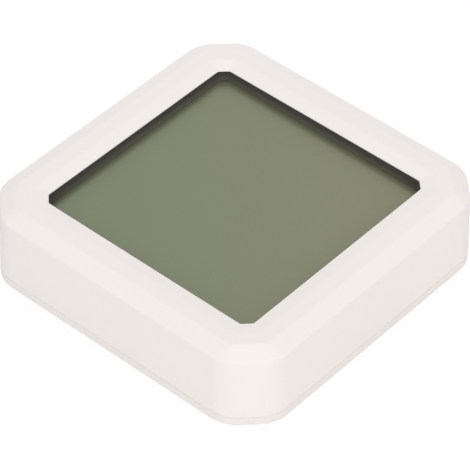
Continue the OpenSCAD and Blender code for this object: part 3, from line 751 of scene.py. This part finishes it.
class SENSOR_OT_board(bpy.types.Operator):
    """Circuit board: mask and laminate, copper tracks, test pads, printed outlines and the four screws"""
    bl_idname = "sensor.board"
    bl_label = "Circuit board"

    def execute(self, context):
        size = in_mm(context)
        dress("circuit_board", "laminate_solder_masked")
        self.copper(size)
        self.outlines(size)
        self.screws()
        return {"FINISHED"}

    def copper(self, size):
        """Tracks under the mask, as low ridges, with vias and test pads. All start inside the board."""
        face, sunk = BOARD_FACE, BOARD_FACE + 0.05
        driver = place_of("display_driver")[1]
        pins = spaced(LEADS, size.lead_pitch)
        near, far, bus = 4.2, np.where(np.arange(LEADS) % 2, 4.9, 5.4), 6.1
        to_vias = [[(14, 12.6), (15, 12.6)]]
        for way in (1, -1):
            to_vias += [[driver + (p, way * near), driver + (p, way * end)] for p, end in zip(pins, far)]
        paths = to_vias + [[driver + (near, p), driver + (bus, p)] for p in pins[:6]]
        # Supply and aerial, then the sensor, the switch and the row of test pads
        paths += [
            [(-15, 7.6), (-15, 0), (-12.4, -2.6), (-12.4, -4.5)], [(-15, 9.6), (-15, 10.8), (-14.1, 11.5)],
            [(12.4, -4.5), (15.6, -1.3), (15.6, 6), (13.4, 8.4)], [(9, 12), (11.6, 14.6), (12.8, 14.6)],
            [(9, 10.2), (10.2, 9.6)], [(8.3, 15.9), (7.6, 15.2), (7.6, 13.6)],
            [(-7.2, 9.6), (-7.2, 11), (-7.9, 11.5)], [(-6.6, 16.6), (-6, 16), (-6, 15.8)],
            [(-14, -17.3), (-16, -15.3), (-16, -9)], [(8, -17.3), (14, -17.3), (16, -15.3), (16, -9)],
        ]
        ridges = [skin(ribbon(path, size.track, 0.04) + (0, 0, face)) for path in paths]
        piece("board_tracks", FRONT, "copper_under_mask", ridges)

        via = disc(0.2, face - 0.035, sunk, (0.02, 0), 3, 12)
        pad = disc(0.6, face - 0.03, sunk, (0.02, 0), 3, 32)
        pads_at = [(x, -17.3) for x in np.linspace(-14, 8, 6)] + [(15.6, 2), (-15, 4), (16, -9), (-16, -9)]
        plated = [skin(via, [path[-1] for path in to_vias]), skin(pad, pads_at)]
        piece("test_pads", FRONT, "gold_immersion_plated", plated)

    def outlines(self, size):
        """Printed lines: a ring round the cell's holder, and corner marks a little way off the chips."""
        ring_r, top, sunk, tick = 11.45, BOARD_FACE - 0.015, BOARD_FACE + 0.05, 0.7
        out = ring_r + size.stroke
        line = np.array([(ring_r, top), (out, top), (out, sunk), (ring_r, sunk)])
        printed = [skin(lathe(line, 96), CELL_AT, closed=True)]
        for node, room in (("display_driver", 0.35), ("radio_chip", 0.5), ("switch_body", 0.3),
                           ("clock_crystal", 0.3)):
            half, at, _, _ = place_of(node)
            x, y = half + room
            mark = ribbon([(x, y - tick), (x, y), (x - tick, y)], size.stroke, 0.03) + (0, 0, BOARD_FACE)
            printed += [skin(mark * (right, upper, 1), at) for right in (-1, 1) for upper in (-1, 1)]
        piece("printed_outlines", FRONT, "ink_screen_printed", printed)

    def screws(self):
        """Screws: circles of a shank and a domed head, which turn into a cross and sink into the head."""
        face, shank, arm_half, arm_long = BOARD_FACE, 0.6, 0.15, 0.7
        arm = math.atan2(arm_half, arm_long)
        turn = np.concatenate([[-arm, 0, arm], np.linspace(arm, math.pi / 2 - arm, 9)[1:-1]])
        turn = (turn + np.arange(4)[:, None] * math.pi / 2).ravel()
        off_arm = np.abs((turn + math.pi / 4) % (math.pi / 2) - math.pi / 4)
        cross = np.minimum(arm_long / np.cos(off_arm), arm_half / np.maximum(np.sin(off_arm), 1e-6))
        side = rounded([(0.3, face + 3.4, 0), (shank, face + 3.1, 0.1), (shank, face, 0), (HEAD, face, 0.05),
                        (HEAD, face - 0.8, 0.35), (0.8, face - 0.8, 0)])
        radii = np.concatenate([np.repeat(side[:, :1], len(turn), 1), np.outer([1, 0.92, 0.6], cross)])
        heights = np.concatenate([side[:, 1], face - np.array([0.8, 0.7, 0.42])])
        screw = lifted(np.stack([radii * np.cos(turn), radii * np.sin(turn)], -1), heights)
        piece("case_screws", FRONT, "steel_zinc_plated", [skin(screw, SCREWS)], "board_screws")


class SENSOR_OT_chips(bpy.types.Operator):
    """Parts on the board: chips with leads or pads, crystal, aerial, climate sensor and small parts"""
    bl_idname = "sensor.chips"
    bl_label = "Parts on the board"

    def execute(self, context):
        tinned = [self.driver(in_mm(context)), self.radio(), *self.small_parts(), *self.crystal_and_aerial(),
                  self.climate()]
        piece("solder_and_leads", FRONT, "tin_reflowed", tinned)

        marks = []
        for node, inset in (("display_driver", 0.9), ("radio_chip", 0.7)):
            half, at, low, _ = place_of(node)
            marks.append(skin(disc(0.3, low - 0.008, low + 0.02, count=24), at - half + inset))
        piece("pin_marks", FRONT, "resin_laser_marked", marks)
        return {"FINISHED"}

    def driver(self, size):
        """Display driver: a flat pack with a row of bent leads on each side. Gives the leads."""
        half, at, low, _ = place_of("display_driver")
        body = block(half, 0.25, low, BOARD_FACE - 0.1, 0.12)
        piece("driver_body", FRONT, "resin_moulded", [skin(body, at)], "display_driver")
        lead = bent_lead(half[0], (0.22, 0.42), low + 0.65, BOARD_FACE - 0.07, 0.1, 0.12, 0.22)
        row = placed(lead, [(0, p) for p in spaced(LEADS, size.lead_pitch)])
        return skin(turned(row, range(4)), at)

    def radio(self):
        """Radio chip: a flat block with pads under its edges. Gives the pads."""
        half, at, low, _ = place_of("radio_chip")
        body = block(half, 0.08, low, BOARD_FACE - 0.02, 0.04)
        piece("radio_body", FRONT, "resin_moulded", [skin(body, at)], "radio_chip")
        pad = block((0.28, 0.14), 0.1, BOARD_FACE - 0.12, BOARD_FACE, 0.05, 2)
        row = placed(pad, [(half[0] + 0.08, y) for y in spaced(8, 0.5)])
        return skin(turned(row, range(4)), at)

    def small_parts(self):
        """Capacitors and resistors: a body between two tinned ends, each with a hollow fillet of solder at
        its foot, which goes out by 0.16 (1 - t) squared as it rises by t. Gives the ends and fillets."""
        long, wide, end_at, end_half = 1.6, 0.8, 0.6, (0.2, 0.4)
        rise = np.linspace(0, 1, 6)
        tinned = []
        for node, name, look, slot in (
                ("board_capacitors", "capacitor_bodies", "ceramic_fired_tan", "capacitor_ceramic"),
                ("board_resistors", "resistor_bodies", "resin_moulded", "chip_resin")):
            spots = part_places(node, long, wide)
            low = BOX[node][0, 2]
            body = block((0.62, 0.39), 0.05, low + 0.02, BOARD_FACE - 0.03, 0.04)
            piece(name, FRONT, look, [skin(body, spots)], node)
            cap = block(end_half, 0.06, low, BOARD_FACE - 0.01, 0.05)
            fillet = oblong(end_half, 0.06, 0.16 * (1 - rise) ** 2)
            foot = lifted(fillet, BOARD_FACE - 0.6 * (BOARD_FACE - low) * rise)
            ends = [(x + way * end_at, y) for way in (-1, 1) for x, y in spots]
            tinned += [skin(cap, ends), skin(foot, ends)]
        return tinned

    def crystal_and_aerial(self):
        """Clock crystal, a steel lid on a ceramic base, and the ceramic aerial. Gives their pads and ends."""
        face = BOARD_FACE
        half, at, low, _ = place_of("clock_crystal")
        lid = block(half - 0.18, 0.3, low, face - 0.3, 0.09)
        piece("crystal_lid", FRONT, "steel_seam_welded", [skin(lid, at)], "clock_crystal")
        base = skin(block(half, 0.15, face - 0.35, face, 0.05), at)
        corner = block((0.45, 0.4), 0.1, face - 0.1, face, 0.04, 2)
        pads = skin(corner, [at + (x, y) for x in (-1.3, 1.3) for y in (-1, 1)])

        half, at, low, _ = place_of("chip_antenna")
        aerial = skin(block(half - (0.3, 0.02), 0.05, low + 0.02, face - 0.02, 0.04), at)
        fired = [base, aerial]
        piece("aerial_ceramic", FRONT, "ceramic_fired_cream", fired, "chip_antenna")
        tip_half = 0.22
        tip = block((tip_half, half[1]), 0.06, low, face, 0.06)
        reach = (half[0] - tip_half, 0)
        return pads, skin(tip, [at - reach, at + reach])

    def climate(self):
        """Climate sensor: a block with a round opening over a white membrane. Gives its pads."""
        face, hole_r = BOARD_FACE, 0.5
        half, at, low, _ = place_of("climate_sensor")
        side = rounded([(-0.2, face, 0), (0, face, 0.05), (0, low, 0.08), (-0.2, low, 0)], 3)
        walls = oblong(half, 0.15, side[:, 0], 8)
        rings = lifted(even_ring(walls, [hole_r + 0.06, hole_r, hole_r]), [low, low + 0.06, low + 0.45])
        shape = np.concatenate([lifted(walls, side[:, 1]), rings])
        piece("climate_body", FRONT, "resin_moulded", [skin(shape, at)], "climate_sensor")
        leaf = disc(hole_r - 0.01, low + 0.3, low + 0.4, count=24)
        piece("climate_membrane", FRONT, "membrane_expanded", [skin(leaf, at)])
        pad = block((0.2, 0.18), 0.05, face - 0.12, face, 0.04, 2)
        return skin(pad, [at + (x, y) for x in (-0.9, 0, 0.9) for y in (-1.3, 1.3)])


class SENSOR_OT_cell(bpy.types.Operator):
    """Coin cell with its crimped can, seal and cap, and the holder with its clips and contact"""
    bl_idname = "sensor.cell"
    bl_label = "Coin cell"

    def execute(self, context):
        self.cell()
        self.holder()
        return {"FINISHED"}

    def cell(self):
        """Can with a stamped ring in its face and a crimp over the seal, and a cap with a raised rim."""
        half, at, low, high = place_of("coin_cell")
        can_r, crimp_r, cap_r, rim_r, core = half[0], 9.1, 8.6, 6.6, 0.5
        groove, sunk, crimp = low + 0.06, high - 0.05, high - 0.6
        can = rounded([(core, low, 0), (8.3, low, 0.1), (8.4, groove, 0.05), (8.7, groove, 0.05),
                       (8.8, low, 0.1), (can_r, low, 0.5), (can_r, high - 0.3, 0.3),
                       (crimp_r, high - 0.32, 0.1), (crimp_r, crimp, 0), (core, crimp, 0)])
        cap = rounded([(core, crimp - 0.1, 0), (cap_r, crimp - 0.1, 0), (cap_r, high, 0.25),
                       (rim_r, high, 0.05), (rim_r - 0.1, sunk, 0.05), (core, sunk, 0)])
        shells = [skin(lathe(side, 128), at) for side in (can, cap)]
        piece("cell_can", "cell", "steel_drawn_can", shells, "coin_cell")
        seal_in, seal_out, seal_low, seal_top = cap_r - 0.05, crimp_r + 0.02, crimp - 0.05, high - 0.29
        seal = rounded([(seal_in, seal_low, 0), (seal_out, seal_low, 0), (seal_out, seal_top, 0.08),
                        (seal_in, seal_top, 0.08)])
        ring = skin(lathe(seal, 128), at, closed=True)
        piece("cell_seal", "cell", "nylon_glass_filled", [ring])

    def holder(self):
        """Two arcs of wall on a flat ring, a bent clip in each gap between them, and the dished contact."""
        low, high = BOX["cell_holder"][:, 2]
        wall_in, wall_out, gap_half = 10.1, 11.3, 3.1
        wall = rounded([(wall_in, low, 0.2), (wall_out, low, 0.25), (wall_out, high, 0),
                        (wall_in, high, 0)], 4)
        gap = math.asin(gap_half / ((wall_in + wall_out) / 2))
        turn = np.linspace(gap, math.pi - gap, 60)[:, None]
        arc = np.stack([wall[:, 0] * np.cos(turn), wall[:, 0] * np.sin(turn), wall[:, 1] + 0 * turn], -1)
        ring_in, ring_out, ring_low = 9, wall_in + 0.05, high - 0.25
        ring = rounded([(ring_in, ring_low, 0.08), (ring_out, ring_low, 0), (ring_out, high, 0),
                        (ring_in, high, 0)])
        nylon = [skin(turned(arc, (0, 2)), CELL_AT), skin(lathe(ring, 128), CELL_AT, closed=True)]
        piece("holder_ring", FRONT, "nylon_glass_filled", nylon, "cell_holder")

        clip_at, clip_z, thick, wide = 10.18, high - 0.125, 0.24, 5
        bend = rounded([(12.45, clip_z, 0), (clip_at, clip_z, 0.3), (clip_at, low + 0.5, 0.5),
                        (clip_at + 0.22, low + 0.02, 0)])
        clips = skin(turned(bent_strip(bend, thick, wide), (0, 2)), CELL_AT)
        piece("positive_clips", FRONT, "steel_nickel_plated", [clips], "cell_positive_clips")
        low, high = BOX["cell_negative_contact"][:, 2]
        core, dish_r = 0.2, 3.5
        dish = rounded([(core, low, 0), (1, low, 0.3), (1.9, low + 0.1, 0.4), (dish_r, low + 0.1, 0.04),
                        (dish_r, high, 0.02), (core, high, 0)])
        spring = [skin(lathe(dish), CELL_AT)]
        piece("negative_dish", FRONT, "steel_nickel_plated", spring, "cell_negative_contact")


class SENSOR_OT_button(bpy.types.Operator):
    """Pairing button, and the switch behind it with its steel cover, leads and plunger"""
    bl_idname = "sensor.button"
    bl_label = "Pairing button and switch"

    def execute(self, context):
        low, high = BOX["pairing_button"][:, 2]
        core, cap_r, stem_r, flange_r, flange_low, flange_top = 0.3, 2.2, 1.2, 3, 1.1, 1.6
        side = rounded([(core, low + 0.12, 0), (1, low + 0.1, 0.6), (1.7, low, 0.3), (cap_r, low, 0.25),
                        (cap_r, flange_low, 0), (flange_r, flange_low, 0.1), (flange_r, flange_top, 0.1),
                        (stem_r, flange_top, 0.1), (stem_r, high, 0.1), (core, high, 0)])
        cap = skin(lathe(side), BUTTON_AT)
        piece("button_moulding", "button", "abs_button_moulded", [cap], "pairing_button")

        plunger = skin(disc(1.2, *BOX["switch_plunger"][:, 2], (0.2, 0.05), count=48), BUTTON_AT)
        piece("plunger_moulding", "plunger", "acetal_moulded", [plunger], "switch_plunger")
        self.switch()
        return {"FINISHED"}

    def switch(self):
        """Switch: a nylon case with a well for the plunger, and a riveted steel cover with four leads."""
        half, _, low, high = place_of("switch_body")
        plate_low, plate_high, well_floor, well_r, hole_r = low + 0.05, low + 0.25, low + 1, 1.3, 1.27
        side = rounded([(-0.2, high - 0.1, 0), (0, high - 0.1, 0.05), (0, plate_high, 0.05),
                        (-0.2, plate_high, 0)], 3)
        walls = oblong(half, 0.2, side[:, 0], 8)
        well = lifted(even_ring(walls, [well_r, well_r]), [plate_high, well_floor])
        case = skin(np.concatenate([lifted(walls, side[:, 1]), well]), BUTTON_AT)
        piece("switch_case", FRONT, "nylon_glass_filled", [case], "switch_body")

        edge = rounded([(-0.3, plate_high, 0), (-0.05, plate_high, 0), (-0.05, plate_low, 0.08),
                        (-0.3, plate_low, 0)], 3)
        sheet = oblong(half, 0.2, edge[:, 0], 8)
        hole = lifted(even_ring(sheet, [hole_r, hole_r]), [plate_low, plate_high])
        lid = skin(np.concatenate([lifted(sheet, edge[:, 1]), hole]), BUTTON_AT, closed=True)
        rivet = disc(0.3, low, plate_high, (0.1, 0), count=20)
        rivets = skin(rivet, [BUTTON_AT + (x, y) for x in (-1.7, 1.7) for y in (-1.7, 1.7)])
        lead = bent_lead(half[0], (0.35, 0.5), high - 0.45, high - 0.08, 0.12, 0.16, 0.6)
        leads = skin(turned(placed(lead, [(0, -1.5), (0, 1.5)]), (0, 2)), BUTTON_AT)
        piece("switch_cover", FRONT, "steel_stamped", [lid, rivets, leads])


# Studio


def seen_rays(tree):
    """A node that is 1 for what the camera, mirrors and glass see, and 0 for light on its way elsewhere."""
    rays = add(tree, "LightPath").outputs
    direct = add(tree, "Math", {0: rays["Is Camera Ray"], 1: rays["Is Glossy Ray"]}, operation="MAXIMUM")
    return add(tree, "Math", {0: direct, 1: rays["Is Transmission Ray"]}, operation="MAXIMUM")


def stand(name, data, azimuth, elevation, shift, roll=0.0):
    """Puts up a camera or lamp that looks against (sin a cos e, -cos a cos e, sin e), so a goes round from -Y
    and e goes up, rolled about that line, all in degrees. It is shifted from the origin along its own axes,
    in metres."""
    a, e, r = (math.radians(v) for v in (azimuth, elevation, roll))
    back = np.array([math.sin(a) * math.cos(e), -math.cos(a) * math.cos(e), math.sin(e)])
    level = np.array([math.cos(a), math.sin(a), 0])
    right = math.cos(r) * level + math.sin(r) * np.cross(back, level)
    axes = np.column_stack([right, np.cross(back, right), back])
    made = bpy.data.objects.new(name, data)
    bpy.context.scene.collection.objects.link(made)
    made.matrix_world = Matrix.Translation((axes @ shift).tolist()) @ Matrix(axes.tolist()).to_4x4()
    return made


class SENSOR_OT_stage(bpy.types.Operator):
    """Studio: pale floor, soft lamps, a white surround and the camera at the photograph's angle"""
    bl_idname = "sensor.stage"
    bl_label = "Studio and camera"

    def execute(self, context):
        scene = context.scene
        scene.view_settings.view_transform = "Standard"
        self.surround(scene)
        self.floor(scene)

        # Camera: its shift to the right, up and away from the origin frames the object as the photograph does
        eye = bpy.data.cameras.new("photo_camera")
        eye.lens, eye.sensor_width, eye.clip_start, eye.clip_end = 231.43, 36, 0.01, 20
        shift = np.array([0.078, 2.277, 355.16]) * MM
        scene.camera = stand("photo_camera", eye, 41.10, 43.52, shift, roll=0.51)

        # Lamps, a metre away: azimuth, elevation, side in metres and watts. The front one is hidden from
        # reflections, so that no edge glints. The two behind give the frame and the display their sheen.
        for name, azimuth, elevation, side, watts, mirrored in (
                ("front_softbox", 45, 12, 0.4, 3.1, False),
                ("top_softbox", 221, 75, 0.35, 1.3, True),
                ("rear_softbox", 221, 12, 0.6, 0.5, True)):
            lamp = bpy.data.lights.new(name, "AREA")
            lamp.energy, lamp.size = watts, side
            stand(name, lamp, azimuth, elevation, (0, 0, 1)).visible_glossy = mirrored
        return {"FINISHED"}

    def surround(self, scene):
        """What is seen of the surround is white, and its light on the object is softer."""
        scene.world = scene.world or bpy.data.worlds.new("studio_surround")
        scene.world.use_nodes = True
        tree = scene.world.node_tree
        tree.nodes.clear()
        level = add(tree, "MapRange", {"Value": seen_rays(tree), "To Min": 0.755, "To Max": 1.0})
        sky = add(tree, "Background", {"Color": (1, 1, 1, 1), "Strength": level})
        add(tree, "OutputWorld", {"Surface": sky})

    def floor(self, scene):
        """The floor glows white where it is seen, mixed with its lit colour, which keeps the object's shadow.
        It lies a little under the object, so that their faces don't coincide."""
        made = blank("floor_pale_card")
        tree = made.node_tree
        glow = add(tree, "Math", {0: seen_rays(tree), 1: 0.8}, operation="MULTIPLY")
        card = add(tree, "BsdfDiffuse", {"Color": rgba(scene.sensor_colours.floor)})
        white = add(tree, "Emission", {"Color": (1, 1, 1, 1), "Strength": 1.09})
        both = add(tree, "MixShader", {0: glow, 1: card, 2: white})
        add(tree, "OutputMaterial", {"Surface": both})
        reach, z = 3, -0.02 * MM
        mesh = bpy.data.meshes.new("studio_floor")
        mesh.from_pydata([(x * reach, y * reach, z) for x, y in ((-1, -1), (1, -1), (1, 1), (-1, 1))], [],
                         [(0, 1, 2, 3)])
        mesh.materials.append(made)
        ground = bpy.data.objects.new("studio_floor", mesh)
        scene.collection.objects.link(ground)


OPERATORS = (SENSOR_OT_shell, SENSOR_OT_cover, SENSOR_OT_display, SENSOR_OT_board, SENSOR_OT_chips,
             SENSOR_OT_cell, SENSOR_OT_button, SENSOR_OT_stage)


class SENSOR_PT_dresser(bpy.types.Panel):
    """The steps in the order in which main() runs them, and the values that they read"""
    bl_idname = "SENSOR_PT_dresser"
    bl_label = "Climate sensor"
    bl_space_type = "VIEW_3D"
    bl_region_type = "UI"
    bl_category = "Climate sensor"

    def draw(self, context):
        for step in OPERATORS:
            self.layout.operator(step.bl_idname)
        for group in (context.scene.sensor_sizes, context.scene.sensor_colours):
            for name in type(group).__annotations__:
                self.layout.prop(group, name)


CLASSES = (SensorSizes, SensorColours, *OPERATORS, SENSOR_PT_dresser)


def register():
    for made in CLASSES:
        bpy.utils.register_class(made)
    bpy.types.Scene.sensor_sizes = PointerProperty(type=SensorSizes)
    bpy.types.Scene.sensor_colours = PointerProperty(type=SensorColours)


def unregister():
    del bpy.types.Scene.sensor_colours, bpy.types.Scene.sensor_sizes
    for made in reversed(CLASSES):
        bpy.utils.unregister_class(made)


def main():
    """Registers the classes and runs each step."""
    register()
    for step in OPERATORS:
        group, name = step.bl_idname.split(".")
        getattr(getattr(bpy.ops, group), name)()


if __name__ == "__main__":
    main()
